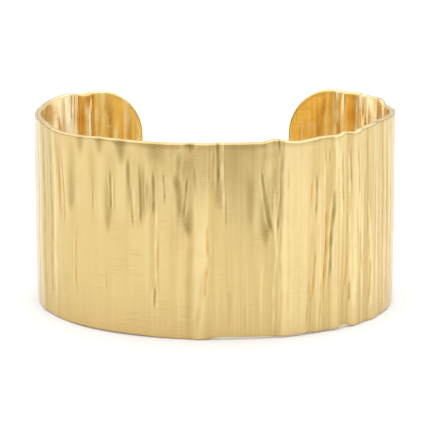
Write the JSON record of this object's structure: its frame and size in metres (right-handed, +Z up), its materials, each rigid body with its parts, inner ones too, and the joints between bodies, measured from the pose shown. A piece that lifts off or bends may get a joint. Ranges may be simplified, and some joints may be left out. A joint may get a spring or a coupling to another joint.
{
  "type": "cuff bracelet",
  "caption": "Wide open cuff bracelet: one creased strip of gold-plated brass sheet with rounded ends, bent into an oval that slips sideways over the wrist.",
  "frame": {"origin": "middle of the footprint of the bracelet where it stands on its lower edge", "axes": "+Z up along the wrist, +Y from the middle of the front towards the gap between the ends, +X across the width of the oval"},
  "size_m": [0.064, 0.0478, 0.0348],
  "materials": {
    "gold_plate": "polished gold plate over brass, creased and lightly brushed"
  },
  "bodies": {
    "root": {"cuff": "gold_plate"}
  },
  "joints": []
}
